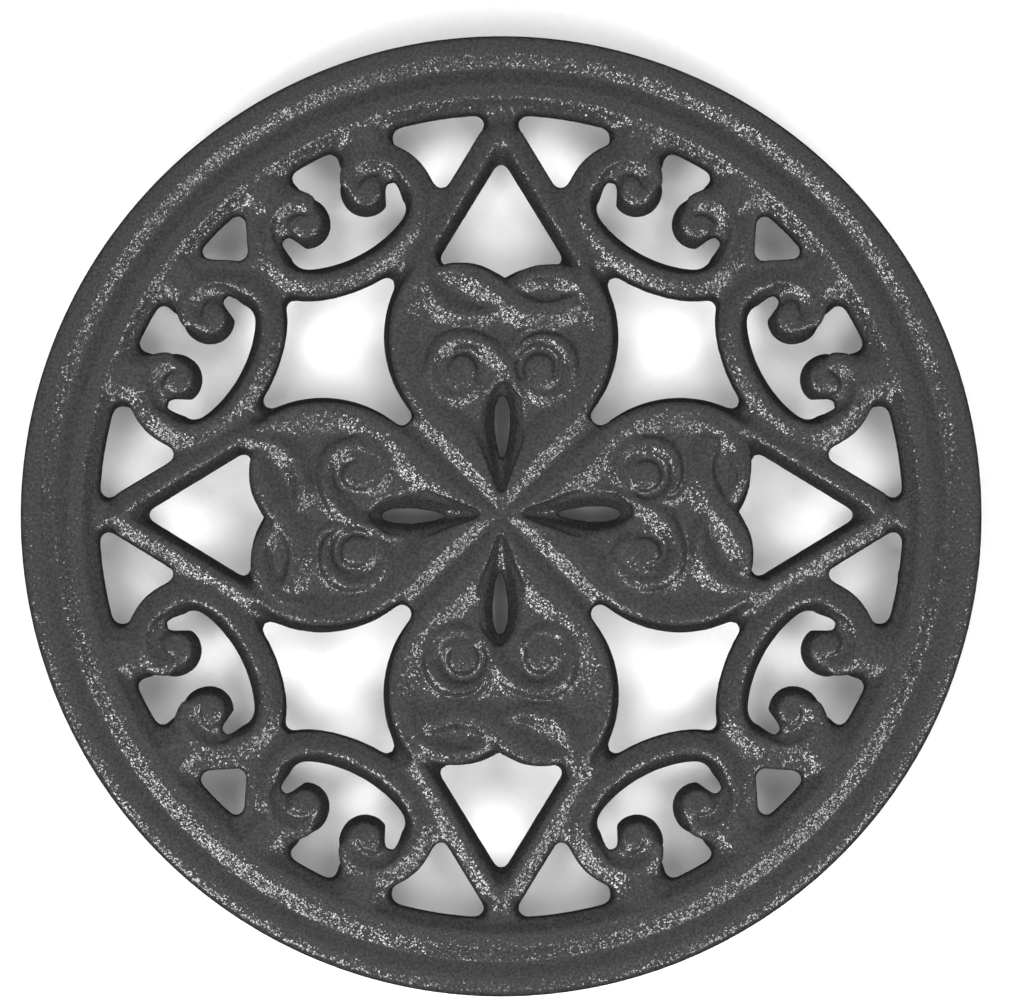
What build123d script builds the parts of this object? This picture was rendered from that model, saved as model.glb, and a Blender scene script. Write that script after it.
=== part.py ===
"""A round cast-iron trivet on three legs, each with a rubber cap. Millimetres, +Z up.

The origin is on the table under the middle of the rim. The ornament is drawn for the petal and the
scroll on the +Y axis, with the underside of the casting at height zero, and then turned and lifted.
"""
import os
from math import cos, radians, sin, sqrt

from build123d import *

# Rim: a ring with a flat crest, a V groove, a flat inner band and drafted walls
RIM_DIAMETER = 195.0
RIM_WIDTH = 15.7
RIM_HEIGHT = 7.5
RIM_OUTER_DRAFT = 0.4
RIM_INNER_DRAFT = 1.6
RIM_SHOULDER_RUN = 1.9
RIM_SHOULDER_DROP = 1.7
BAND_SHOULDER_RUN = 1.1
BAND_SHOULDER_DROP = 0.9
GROOVE_INSET = 6.9
GROOVE_WIDTH = 5.3
GROOVE_DEPTH = 1.2

# Lattice bars: drafted sides up to a shoulder, then a roof with a narrow crest
BAR_HEIGHT = 6.6
BAR_SHOULDER = 5.0
BAR_DRAFT = 1.1
BAR_CREST = 1.5

# Arches: two straight legs that meet under the rim on each petal's axis
ARCH_LEG_WIDTH = 6.7
ARCH_CREST_INSET = 2.9
ARCH_APEX_INSET = 3.0
ARCH_SEAT_INSET = 1.8
ARCH_SEAT_ANGLE = 52.6
GUSSET_REACH = 2.0
GUSSET_HEIGHT = 5.6

# Scrolls: a C of three arcs each side of its axis, measured in from the rim, that ends in curls
SCROLL_TURN = 28.3
SCROLL_WIDTH = 7.0
SCROLL_DEPTH = 24.85
SCROLL_HAUNCH = (12.0, 22.35)
SCROLL_SIDE = (16.2, 15.0)
SCROLL_SHOULDER = (10.7, 5.3)
SCROLL_TIP = (7.6, 5.3)
CURL_SPREAD = 6.8
CURL_INSET = 10.4
CURL_RADIUS = 5.2
CURL_CREST_RADIUS = 3.0
CURL_CROWN = 0.35
NECK_PLACES = [(9.2, 4.4), (12.6, 2.6)]
NECK_RADIUS = 4.7
NECK_HEIGHT = 5.8

# Petals: dished discs with a raised border that runs on to the middle of the trivet
PETAL_RADIUS = 24.1
PETAL_GAP = 3.1
PETAL_HEIGHT = 7.2
PETAL_BORDER_RUN = 1.0
PETAL_BORDER_CREST = 1.2
PETAL_SLOPE_RUN = 9.0
PETAL_FLOOR = 4.6
HUB_HEIGHT = 4.4
HUB_REACH = 1.6
HUB_CHAMFER = 2.0
LOBE_RADIUS = 14.7
LOBE_SPREAD = 8.8

# Slit on each petal's axis: a leaf-shaped recess with a narrower leaf cut right through
RECESS_START = 5.0
RECESS_END = 28.0
RECESS_WIDTH = 7.2
RECESS_FLOOR = 2.2
SLIT_START = 11.0
SLIT_END = 25.0
SLIT_WIDTH = 2.9

# Relief on each petal, placed from its middle: two strands that rise beside the slit and wind into
# volutes, and beyond them a twist of two more strands along the lobed end
LEFT_VOLUTE_RADIUS = 1.8
LEFT_VOLUTE_HEIGHT = 5.2
RIGHT_VOLUTE_RADIUS = 1.7
RIGHT_VOLUTE_HEIGHT = 4.8
LEFT_VOLUTE_START = (1.0, -31.0)
LEFT_VOLUTE = [
    (3.9, -19.0),
    (0.4, -4.6),
    (-8.0, 0.5),
    (-15.4, -6.6),
    (-9.6, -13.2),
    (-4.8, -8.4),
    (-8.2, -4.6),
]
RIGHT_VOLUTE_START = (-1.0, -31.0)
RIGHT_VOLUTE = [
    (-3.9, -19.0),
    (-0.6, -8.4),
    (3.0, -3.4),
    (8.6, -0.2),
    (15.4, -6.8),
    (9.6, -13.4),
    (4.8, -8.4),
    (8.4, -4.8),
]
VOLUTE_LEAN = 14.0
EYE_SPREAD = 8.4
EYE_INSET = 7.0
EYE_RADIUS = 2.5
EYE_HEIGHT = 6.6
OVER_TWIST_RADIUS = 2.1
OVER_TWIST_HEIGHT = 5.1
UNDER_TWIST_RADIUS = 1.9
UNDER_TWIST_HEIGHT = 4.5
UNDER_TWIST_START = (-13.6, 9.8)
UNDER_TWIST = [(-6.0, 5.4), (1.0, 8.4), (9.0, 12.0), (15.0, 10.2)]
UNDER_TWIST_HEADING = -52.0
OVER_TWIST_START = (-11.6, 11.4)
OVER_TWIST = [(-5.4, 11.6), (1.0, 8.2), (8.6, 5.2), (15.6, 9.0)]
OVER_TWIST_HEADING = 22.0

# Legs under the rim and their rubber caps
GROUND_CLEARANCE = 14.0
LEG_COUNT = 3
FIRST_LEG_ANGLE = -8.0
LEG_RADIUS = 3.2
LEG_COLLAR_RADIUS = 4.2
LEG_ROOT_RADIUS = 4.4
LEG_EDGE_INSET = 0.6
LEG_BURY = 3.0
CAP_HEIGHT = 9.0
CAP_WALL = 1.3
CAP_FLOOR = 2.5
CAP_CLEARANCE = 0.05
CAP_EDGE = 0.7

# Places that follow from the sizes above
rim_radius = RIM_DIAMETER / 2
field_radius = rim_radius - RIM_WIDTH
petal_place = (2 * PETAL_RADIUS + PETAL_GAP) / sqrt(2)
border_crest_radius = PETAL_RADIUS - BAR_DRAFT - PETAL_BORDER_RUN
border_inner_radius = border_crest_radius - PETAL_BORDER_CREST
petal_floor_radius = border_inner_radius - PETAL_SLOPE_RUN
leg_place = field_radius + LEG_EDGE_INSET + LEG_ROOT_RADIUS


def on_petal(point: tuple[float, float]) -> tuple[float, float]:
    """Turn a point measured from the petal's middle into one measured from the trivet's middle."""
    return (point[0], point[1] + petal_place)


def in_from_rim(point: tuple[float, float]) -> tuple[float, float]:
    """Turn a point measured sideways and in from the rim into one measured from the trivet's middle."""
    return (point[0], field_radius - point[1])


def bar_outline(width: float, crest_offset: float = 0.0) -> list[tuple[float, float]]:
    """Give the outline of a bar across its run: drafted sides, a shoulder and a narrow crest."""
    half = width / 2
    return [
        (-half, 0),
        (half, 0),
        (half - BAR_DRAFT, BAR_SHOULDER),
        (crest_offset + BAR_CREST / 2, BAR_HEIGHT),
        (crest_offset - BAR_CREST / 2, BAR_HEIGHT),
        (BAR_DRAFT - half, BAR_SHOULDER),
    ]


def heading_at(angle: float) -> Vector:
    """Give the level direction at an angle in degrees from the +X axis."""
    return Vector(cos(radians(angle)), sin(radians(angle)))


def make_rim() -> Part:
    """Turn the rim's section round the trivet's axis."""
    groove_radius = rim_radius - GROOVE_INSET
    with BuildPart() as rim:
        with BuildSketch(Plane.XZ):
            with BuildLine():
                Polyline(
                    (field_radius, 0),
                    (rim_radius, 0),
                    (rim_radius - RIM_OUTER_DRAFT, RIM_HEIGHT - RIM_SHOULDER_DROP),
                    (rim_radius - RIM_OUTER_DRAFT - RIM_SHOULDER_RUN, RIM_HEIGHT),
                    (groove_radius + GROOVE_WIDTH / 2, RIM_HEIGHT),
                    (groove_radius, RIM_HEIGHT - GROOVE_DEPTH),
                    (groove_radius - GROOVE_WIDTH / 2, RIM_HEIGHT),
                    (field_radius + RIM_INNER_DRAFT + BAND_SHOULDER_RUN, RIM_HEIGHT),
                    (field_radius + RIM_INNER_DRAFT, RIM_HEIGHT - BAND_SHOULDER_DROP),
                    close=True,
                )
            make_face()
        revolve(axis=Axis.Z)
    return rim.part


def make_strand(start: tuple, heading: Vector, stops: list[tuple], radius: float, height: float) -> Part:
    """Sweep a round strand along arcs, each tangent to the one before, with its middle at a height."""
    with BuildPart() as strand:
        with BuildLine(Plane.XY.offset(height)):
            arc = TangentArc(start, stops[0], tangent=heading)
            for stop in stops[1:]:
                arc = TangentArc(arc @ 1, stop, tangent=arc % 1)
        with BuildSketch(Plane(origin=(*start, height), z_dir=heading)):
            Circle(radius)
        sweep()
    return strand.part


def make_scroll() -> Part:
    """Make one C-scroll on the +Y axis with a curl at each end and a neck that joins it to the rim."""
    start = in_from_rim((0, SCROLL_DEPTH))
    with BuildPart() as scroll:
        with BuildLine():
            base = TangentArc(start, in_from_rim(SCROLL_HAUNCH), tangent=(1, 0))
            side = TangentArc(base @ 1, in_from_rim(SCROLL_SIDE), tangent=base % 1)
            shoulder = TangentArc(side @ 1, in_from_rim(SCROLL_SHOULDER), tangent=side % 1)
            TangentArc(shoulder @ 1, in_from_rim(SCROLL_TIP), tangent=shoulder % 1)
        with BuildSketch(Plane(origin=start, x_dir=(0, 1, 0), z_dir=(1, 0, 0))):
            with BuildLine():
                Polyline(*bar_outline(SCROLL_WIDTH), close=True)
            make_face()
        sweep()
        curl = in_from_rim((CURL_SPREAD, CURL_INSET))
        with BuildSketch(Plane(origin=curl, x_dir=(1, 0, 0), z_dir=(0, -1, 0))):
            with BuildLine():
                Polyline(
                    (0, 0),
                    (CURL_RADIUS, 0),
                    (CURL_RADIUS - BAR_DRAFT, BAR_SHOULDER),
                    (CURL_CREST_RADIUS, BAR_HEIGHT),
                    (0, BAR_HEIGHT + CURL_CROWN),
                    close=True,
                )
            make_face()
        revolve(axis=Axis(curl, (0, 0, 1)))
        with Locations(*[in_from_rim(place) for place in NECK_PLACES]):
            Cone(
                NECK_RADIUS,
                NECK_RADIUS - BAR_DRAFT,
                NECK_HEIGHT,
                align=(Align.CENTER, Align.CENTER, Align.MIN),
            )
        mirror(about=Plane.YZ)
    return scroll.part


def make_arch() -> Part:
    """Make the two straight legs of one arch, and the gusset that joins their tops to the rim."""
    seat = heading_at(90 - ARCH_SEAT_ANGLE) * (PETAL_RADIUS - ARCH_SEAT_INSET) + Vector(on_petal((0, 0)))
    apex = Vector(in_from_rim((0, ARCH_APEX_INSET)))
    fall = (seat - apex).normalized()
    side = Vector(-fall.Y, fall.X)
    corner = apex + side * ARCH_LEG_WIDTH / 2
    with BuildPart() as arch:
        with BuildSketch(Plane(origin=apex, x_dir=side, z_dir=fall)):
            with BuildLine():
                Polyline(*bar_outline(ARCH_LEG_WIDTH, ARCH_CREST_INSET - ARCH_LEG_WIDTH / 2), close=True)
            make_face()
        extrude(amount=(seat - apex).length)
        mirror(about=Plane.YZ)
        with BuildSketch():
            with BuildLine():
                Polyline(
                    in_from_rim((0, ARCH_APEX_INSET + GUSSET_REACH)),
                    (corner.X, corner.Y),
                    in_from_rim((corner.X, -RIM_INNER_DRAFT)),
                    in_from_rim((-corner.X, -RIM_INNER_DRAFT)),
                    (-corner.X, corner.Y),
                    close=True,
                )
            make_face()
        extrude(amount=GUSSET_HEIGHT)
    return arch.part


def make_dish() -> Part:
    """Make a petal's dish: a bordered disc, a border along each diagonal and a lobed outer end."""
    border = [
        (petal_floor_radius, 0),
        (PETAL_RADIUS, 0),
        (PETAL_RADIUS - BAR_DRAFT, BAR_SHOULDER),
        (border_crest_radius, PETAL_HEIGHT),
        (border_inner_radius, PETAL_HEIGHT),
        (petal_floor_radius, PETAL_FLOOR),
    ]
    middle = on_petal((0, 0))
    seat = heading_at(90 - ARCH_SEAT_ANGLE) * 2 * PETAL_RADIUS
    with BuildPart() as dish:
        with BuildSketch(Plane(origin=middle, x_dir=(1, 0, 0), z_dir=(0, -1, 0))):
            with BuildLine():
                Polyline((0, 0), *border[1:], (0, PETAL_FLOOR), close=True)
            make_face()
        revolve(axis=Axis(middle, (0, 0, 1)))
        with BuildSketch():
            with BuildLine():
                Polyline(middle, on_petal((seat.X, seat.Y)), on_petal((-seat.X, seat.Y)), close=True)
            make_face()
        extrude(amount=PETAL_HEIGHT, mode=Mode.SUBTRACT)
        with Locations(on_petal((LOBE_SPREAD, 0)), on_petal((-LOBE_SPREAD, 0))):
            Cone(
                LOBE_RADIUS,
                LOBE_RADIUS - BAR_DRAFT,
                PETAL_FLOOR,
                align=(Align.CENTER, Align.CENTER, Align.MIN),
            )
        with BuildSketch(Plane(origin=middle, x_dir=(1, -1, 0), z_dir=(-1, -1, 0))):
            with BuildLine():
                Polyline(*border, close=True)
            make_face()
        # The border's straight runs meet on the petal's axis, as far on as their crest is off it
        extrude(amount=border_crest_radius)
        mirror(about=Plane.YZ)
    return dish.part


def make_leaf(start: float, end: float, width: float, floor: float) -> Part:
    """Make the solid that cuts a leaf shape on the petal's axis, from a floor to above the relief."""
    with BuildPart() as leaf:
        with BuildSketch(Plane.XY.offset(floor)):
            with BuildLine():
                ThreePointArc((0, start), (width / 2, (start + end) / 2), (0, end))
                ThreePointArc((0, end), (-width / 2, (start + end) / 2), (0, start))
            make_face()
        extrude(amount=RIM_HEIGHT - floor)
    return leaf.part


def make_petal() -> Part:
    """Make one petal on the +Y axis: dish, slit, volutes with their eyes, and twist."""
    left_volute = make_strand(
        on_petal(LEFT_VOLUTE_START),
        heading_at(90 - VOLUTE_LEAN),
        [on_petal(stop) for stop in LEFT_VOLUTE],
        LEFT_VOLUTE_RADIUS,
        LEFT_VOLUTE_HEIGHT,
    )
    right_volute = make_strand(
        on_petal(RIGHT_VOLUTE_START),
        heading_at(90 + VOLUTE_LEAN),
        [on_petal(stop) for stop in RIGHT_VOLUTE],
        RIGHT_VOLUTE_RADIUS,
        RIGHT_VOLUTE_HEIGHT,
    )
    under_twist = make_strand(
        on_petal(UNDER_TWIST_START),
        heading_at(UNDER_TWIST_HEADING),
        [on_petal(stop) for stop in UNDER_TWIST],
        UNDER_TWIST_RADIUS,
        UNDER_TWIST_HEIGHT,
    )
    over_twist = make_strand(
        on_petal(OVER_TWIST_START),
        heading_at(OVER_TWIST_HEADING),
        [on_petal(stop) for stop in OVER_TWIST],
        OVER_TWIST_RADIUS,
        OVER_TWIST_HEIGHT,
    )
    dish = make_dish()
    recess = make_leaf(RECESS_START, RECESS_END, RECESS_WIDTH, RECESS_FLOOR)
    slit = make_leaf(SLIT_START, SLIT_END, SLIT_WIDTH, 0)
    with BuildPart() as petal:
        add(dish)
        add(recess, mode=Mode.SUBTRACT)
        add(left_volute)
        add(right_volute)
        add(under_twist)
        add(over_twist)
        with Locations(on_petal((EYE_SPREAD, -EYE_INSET)), on_petal((-EYE_SPREAD, -EYE_INSET))):
            Cylinder(EYE_RADIUS, EYE_HEIGHT, align=(Align.CENTER, Align.CENTER, Align.MIN))
        add(slit, mode=Mode.SUBTRACT)
    return petal.part


def make_sector(petal: Part, scroll: Part, arch: Part) -> Part:
    """Join one petal with its arch and the two scrolls beside it."""
    with BuildPart() as sector:
        add(petal)
        add(arch)
        with Locations(Rotation(0, 0, SCROLL_TURN), Rotation(0, 0, -SCROLL_TURN)):
            add(scroll)
    return sector.part


def make_hub() -> Part:
    """Make the square plate that fills the middle, where the four petals' borders run together."""
    with BuildPart() as hub:
        with BuildSketch() as plate:
            Rectangle(petal_place + 2 * HUB_REACH, petal_place + 2 * HUB_REACH)
            chamfer(plate.vertices(), HUB_CHAMFER)
        extrude(amount=HUB_HEIGHT)
    return hub.part


def make_leg() -> Part:
    """Make one leg below the rim: a root in the rim, a tapered collar and a pin for the cap's bore."""
    pin_top = CAP_HEIGHT - GROUND_CLEARANCE
    with BuildPart() as leg:
        with BuildSketch(Plane.XZ):
            with BuildLine():
                Polyline(
                    (0, LEG_BURY),
                    (LEG_RADIUS, LEG_BURY),
                    (LEG_ROOT_RADIUS, 0),
                    (LEG_COLLAR_RADIUS, pin_top),
                    (LEG_RADIUS, pin_top),
                    (LEG_RADIUS, CAP_FLOOR - GROUND_CLEARANCE),
                    (0, CAP_FLOOR - GROUND_CLEARANCE),
                    close=True,
                )
            make_face()
        revolve(axis=Axis.Z)
    return leg.part


os.makedirs("parts", exist_ok=True)

# Casting: rim, hub, legs and four sectors, every second one with its petal the other way round
one_rim = make_rim()
one_hub = make_hub()
one_leg = make_leg()
one_scroll = make_scroll()
one_arch = make_arch()
one_petal = make_petal()
right_sector = make_sector(one_petal, one_scroll, one_arch)
left_sector = right_sector.mirror(Plane.YZ)
with BuildPart() as casting:
    with Locations((0, 0, GROUND_CLEARANCE)):
        add(one_hub)
        with PolarLocations(0, 2):
            add(right_sector)
        with PolarLocations(0, 2, start_angle=90):
            add(left_sector)
        add(one_rim)
        with PolarLocations(leg_place, LEG_COUNT, start_angle=FIRST_LEG_ANGLE):
            add(one_leg)
casting.part.label = "casting"
export_step(casting.part, "parts/casting.step")

# Foot caps: a rubber cup on each leg, from the table up to the leg's collar
cap_radius = LEG_RADIUS + CAP_CLEARANCE + CAP_WALL
cap_places = PolarLocations(leg_place, LEG_COUNT, start_angle=FIRST_LEG_ANGLE)
for number, place in enumerate(cap_places, start=1):
    with BuildPart() as foot_cap:
        with Locations(place):
            Cylinder(cap_radius, CAP_HEIGHT, align=(Align.CENTER, Align.CENTER, Align.MIN))
            chamfer(foot_cap.faces().sort_by(Axis.Z)[0].edges(), CAP_EDGE)
            with Locations((0, 0, CAP_FLOOR)):
                Cylinder(
                    LEG_RADIUS + CAP_CLEARANCE,
                    CAP_HEIGHT - CAP_FLOOR,
                    align=(Align.CENTER, Align.CENTER, Align.MIN),
                    mode=Mode.SUBTRACT,
                )
    foot_cap.part.label = f"foot_cap_{number}"
    export_step(foot_cap.part, f"parts/foot_cap_{number}.step")
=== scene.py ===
"""Powder-coated cast-iron trivet on three rubber feet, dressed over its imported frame.

Lengths in the size classes are millimetres. Heights of the ornament are measured from the
underside of the plate, as they are in the part's own source.
"""

import logging
import math
from collections.abc import Iterable
from dataclasses import dataclass, field
from enum import Enum

import bmesh
import bpy
from mathutils import Matrix, Vector


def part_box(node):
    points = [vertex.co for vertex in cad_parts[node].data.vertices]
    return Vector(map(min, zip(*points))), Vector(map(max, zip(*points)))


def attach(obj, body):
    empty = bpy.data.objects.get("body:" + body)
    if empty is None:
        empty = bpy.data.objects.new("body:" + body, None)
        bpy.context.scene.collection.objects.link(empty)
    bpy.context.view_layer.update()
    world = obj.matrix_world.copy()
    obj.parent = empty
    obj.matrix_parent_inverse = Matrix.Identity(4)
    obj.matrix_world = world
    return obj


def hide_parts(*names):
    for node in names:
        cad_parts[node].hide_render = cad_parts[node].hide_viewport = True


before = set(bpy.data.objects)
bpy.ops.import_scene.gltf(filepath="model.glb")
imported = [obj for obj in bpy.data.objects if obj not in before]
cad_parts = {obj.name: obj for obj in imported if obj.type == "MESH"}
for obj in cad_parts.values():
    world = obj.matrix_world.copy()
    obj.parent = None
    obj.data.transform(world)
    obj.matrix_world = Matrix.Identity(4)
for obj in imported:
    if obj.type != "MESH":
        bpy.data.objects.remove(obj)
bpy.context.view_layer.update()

MILLIMETRE = 0.001
IMAGE_WIDTH = 1024
WELD = 0.001 * MILLIMETRE
CURVE_STEPS = 10
POLYMER_IOR = 1.5
MIRROR = Matrix.Scale(-1.0, 4, (1.0, 0.0, 0.0))
UNTURNED = Matrix.Identity(4)

log = logging.getLogger("trivet")


class Hand(Enum):
    """Which way round a repeated ornament is laid."""

    RIGHT = 1
    LEFT = -1


class Section(Enum):
    """Cross-section of a strand or a cut, in half widths: sideways, then up from its height."""

    # A volute's band, which slopes to both sides from a narrow crest
    COIL = ((-1.2, -1.5), (-1.2, -0.75), (-0.95, -0.4), (-0.15, -0.04), (0.0, 0.0), (0.15, -0.03),
            (1.0, -0.45), (1.0, -1.5))
    # The strand that laps over another: full on its left, a long slope on its right
    LAP = ((-1.0, -1.1), (-1.0, -0.45), (-0.72, -0.04), (0.0, 0.0), (1.2, -0.5), (1.2, -1.1))
    ROPE = ((-1.0, -1.1), (-1.0, -0.42), (-0.2, -0.04), (0.0, 0.0), (0.2, -0.04), (1.0, -0.42), (1.0, -1.1))
    # A bar's top, gentle on its left and steep on its right
    ROOF = ((-0.95, -1.2), (-0.95, -0.38), (0.0, 0.0), (0.42, -0.02), (0.62, -0.45), (0.62, -1.2))
    VALLEY = ((-1.0, -1.2), (-1.0, 0.0), (-0.66, 0.0), (0.0, -0.3), (0.66, 0.0), (1.0, 0.0), (1.0, -1.2))
    BORDER = ((-1.0, -1.2), (-1.0, -0.42), (-0.1, 0.0), (0.35, 0.0), (0.9, -0.35), (0.9, -1.2))
    SADDLE = ((-1.0, -1.0), (-1.0, -0.22), (-0.55, 0.0), (0.55, 0.0), (1.0, -0.22), (1.0, -1.0))
    WEB = ((-1.0, -6.2), (-1.0, 0.0), (1.0, -0.4), (1.0, -6.2))
    # The sections below are of cuts
    ROUND = ((-0.7, -0.7), (-1.0, 0.0), (-0.7, 0.7), (0.0, 1.0), (0.7, 0.7), (1.0, 0.0), (0.7, -0.7),
             (0.0, -1.0))
    RECESS = ((-1.4, 1.0), (-1.4, 0.1), (-0.95, -0.14), (-0.42, -1.2), (0.42, -1.2), (0.95, -0.14),
              (1.4, 0.1), (1.4, 1.0))
    # A groove that is steep on its left and gentle on its right
    SPIRAL = ((-0.45, 1.0), (-0.3, -0.1), (0.0, -0.45), (1.3, 0.1), (1.6, 1.0))
    SCORE = ((-1.0, 1.2), (0.0, 0.0), (1.0, 1.2))
    SLOT = ((-1.0, -12.0), (1.0, -12.0), (1.0, 12.0), (-1.0, 12.0))


@dataclass(frozen=True)
class Station:
    """One point on a strand's way: its place, half width and rise over the strand's height."""

    across: float
    out: float
    half_width: float
    rise: float = 0.0


@dataclass(frozen=True)
class Strand:
    """A strand of ornament, or a cut, that is swept through its stations."""

    name: str
    section: Section
    height: float
    stations: tuple[Station, ...]
    hand: Hand = Hand.RIGHT


@dataclass(frozen=True)
class Button:
    """A low round boss with a slightly domed top and a sloping side.

    The shares say how far out and down the dome and the side bend, as parts of their own sizes.
    """

    across: float
    out: float
    radius: float
    height: float
    crown: float = 0.25
    side: float = 1.6
    drop: float = 3.2
    dome_out_share: float = 0.6
    dome_fall_share: float = 0.35
    side_out_share: float = 0.45
    side_fall_share: float = 0.4
    steps: int = 32


def linear(hex_colour: str) -> tuple[float, float, float, float]:
    """Turn an sRGB hex colour into linear RGBA.

    Args:
        hex_colour: six hex digits after a hash sign.

    Returns:
        The linear colour with full alpha.
    """
    shares = [int(hex_colour[i:i + 2], 16) / 255 for i in (1, 3, 5)]
    red, green, blue = [s / 12.92 if s <= 0.04045 else ((s + 0.055) / 1.055) ** 2.4 for s in shares]
    return red, green, blue, 1.0


def per_metre(size: float) -> float:
    """Give a texture scale whose features measure the size, in millimetres."""
    return 1 / (size * MILLIMETRE)


def add_node(tree: bpy.types.NodeTree, kind: str, settings: dict | None = None,
             links: dict | None = None) -> bpy.types.Node:
    """Add a node with its settings and its incoming links.

    Args:
        tree: the material's or world's node tree.
        kind: the node's type name.
        settings: attributes by name, or input values by socket name.
        links: the output socket that feeds each named input.

    Returns:
        The new node.
    """
    node = tree.nodes.new(kind)
    for name, value in (settings or {}).items():
        if hasattr(node, name):
            setattr(node, name, value)
        else:
            node.inputs[name].default_value = value
    for name, source in (links or {}).items():
        tree.links.new(source, node.inputs[name])
    return node


def bare_tree(owner: bpy.types.Material | bpy.types.World) -> bpy.types.NodeTree:
    """Switch an owner to nodes and empty its tree."""
    owner.use_nodes = True
    owner.node_tree.nodes.clear()
    return owner.node_tree


def set_ramp(node: bpy.types.Node, low: tuple, high: tuple, start: float, stop: float) -> None:
    """Give a colour ramp its two ends and where they stand."""
    first, last = node.color_ramp.elements
    first.position, last.position = start, stop
    first.color, last.color = low, high


@dataclass(frozen=True)
class PowderCoatedIron:
    """Cast iron with a black powder coat: sand-cast waves below, fused grains that glint on top."""

    shade: str = "#262626"
    light_shade: str = "#363636"
    roughness: float = 0.13
    dull_roughness: float = 0.2
    # Real grains are about 0.1 mm; they are drawn coarser, so that they show in the render
    grain: float = 0.3
    grain_tilt: float = 0.34
    pit: float = 0.55
    pit_depth: float = 0.06
    wave: float = 7.0
    wave_depth: float = 0.09
    # Where nearly all of a noise's values lie
    noise_low: float = 0.35
    noise_high: float = 0.65

    def build(self) -> bpy.types.Material:
        """Make the coat's material."""
        material = bpy.data.materials.new("powder_coated_iron")
        tree = bare_tree(material)
        place = add_node(tree, "ShaderNodeTexCoord").outputs["Object"]
        wave = add_node(tree, "ShaderNodeTexNoise", {"Scale": per_metre(self.wave), "Detail": 2.0},
                        {"Vector": place})
        pit = add_node(tree, "ShaderNodeTexNoise", {"Scale": per_metre(self.pit), "Detail": 2.0},
                       {"Vector": place})
        grain = add_node(tree, "ShaderNodeTexVoronoi", {"Scale": per_metre(self.grain)},
                         {"Vector": place})
        # Each grain's random colour, centred on zero, leans its facet
        lean = add_node(tree, "ShaderNodeVectorMath", {"operation": "SUBTRACT"})
        tree.links.new(grain.outputs["Color"], lean.inputs[0])
        lean.inputs[1].default_value = (0.5, 0.5, 0.5)
        waves = add_node(tree, "ShaderNodeBump",
                         {"Strength": 1.0, "Distance": self.wave_depth * MILLIMETRE},
                         {"Height": wave.outputs["Fac"]})
        pits = add_node(tree, "ShaderNodeBump",
                        {"Strength": 1.0, "Distance": self.pit_depth * MILLIMETRE},
                        {"Height": pit.outputs["Fac"], "Normal": waves.outputs["Normal"]})
        facet = add_node(tree, "ShaderNodeVectorMath", {"operation": "MULTIPLY_ADD"})
        tree.links.new(lean.outputs["Vector"], facet.inputs[0])
        facet.inputs[1].default_value = (self.grain_tilt,) * 3
        tree.links.new(pits.outputs["Normal"], facet.inputs[2])
        grains = add_node(tree, "ShaderNodeVectorMath", {"operation": "NORMALIZE"})
        tree.links.new(facet.outputs["Vector"], grains.inputs[0])
        tint = add_node(tree, "ShaderNodeValToRGB", links={"Fac": pit.outputs["Fac"]})
        set_ramp(tint, linear(self.shade), linear(self.light_shade), self.noise_low, self.noise_high)
        dulling = add_node(tree, "ShaderNodeMapRange",
                           {"From Min": self.noise_low, "From Max": self.noise_high,
                            "To Min": self.roughness, "To Max": self.dull_roughness},
                           {"Value": wave.outputs["Fac"]})
        shader = add_node(tree, "ShaderNodeBsdfPrincipled", {"IOR": POLYMER_IOR},
                          {"Base Color": tint.outputs["Color"], "Roughness": dulling.outputs["Result"],
                           "Normal": grains.outputs["Vector"]})
        add_node(tree, "ShaderNodeOutputMaterial", links={"Surface": shader.outputs["BSDF"]})
        return material


@dataclass(frozen=True)
class MouldedRubber:
    """Black moulded rubber: dull, with a fine spark-eroded texture and a grey bloom in patches."""

    shade: str = "#1b1b1b"
    bloom: str = "#2b2b2b"
    roughness: float = 0.72
    texture: float = 0.35
    texture_depth: float = 0.02
    patch: float = 3.0
    bloom_start: float = 0.4
    bloom_full: float = 0.75

    def build(self) -> bpy.types.Material:
        """Make the rubber's material."""
        material = bpy.data.materials.new("moulded_rubber")
        tree = bare_tree(material)
        place = add_node(tree, "ShaderNodeTexCoord").outputs["Object"]
        patch = add_node(tree, "ShaderNodeTexNoise", {"Scale": per_metre(self.patch), "Detail": 3.0},
                         {"Vector": place})
        texture = add_node(tree, "ShaderNodeTexNoise", {"Scale": per_metre(self.texture), "Detail": 1.0},
                           {"Vector": place})
        skin = add_node(tree, "ShaderNodeBump",
                        {"Strength": 1.0, "Distance": self.texture_depth * MILLIMETRE},
                        {"Height": texture.outputs["Fac"]})
        tint = add_node(tree, "ShaderNodeValToRGB", links={"Fac": patch.outputs["Fac"]})
        set_ramp(tint, linear(self.shade), linear(self.bloom), self.bloom_start, self.bloom_full)
        shader = add_node(tree, "ShaderNodeBsdfPrincipled",
                          {"IOR": POLYMER_IOR, "Roughness": self.roughness},
                          {"Base Color": tint.outputs["Color"], "Normal": skin.outputs["Normal"]})
        add_node(tree, "ShaderNodeOutputMaterial", links={"Surface": shader.outputs["BSDF"]})
        return material


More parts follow.
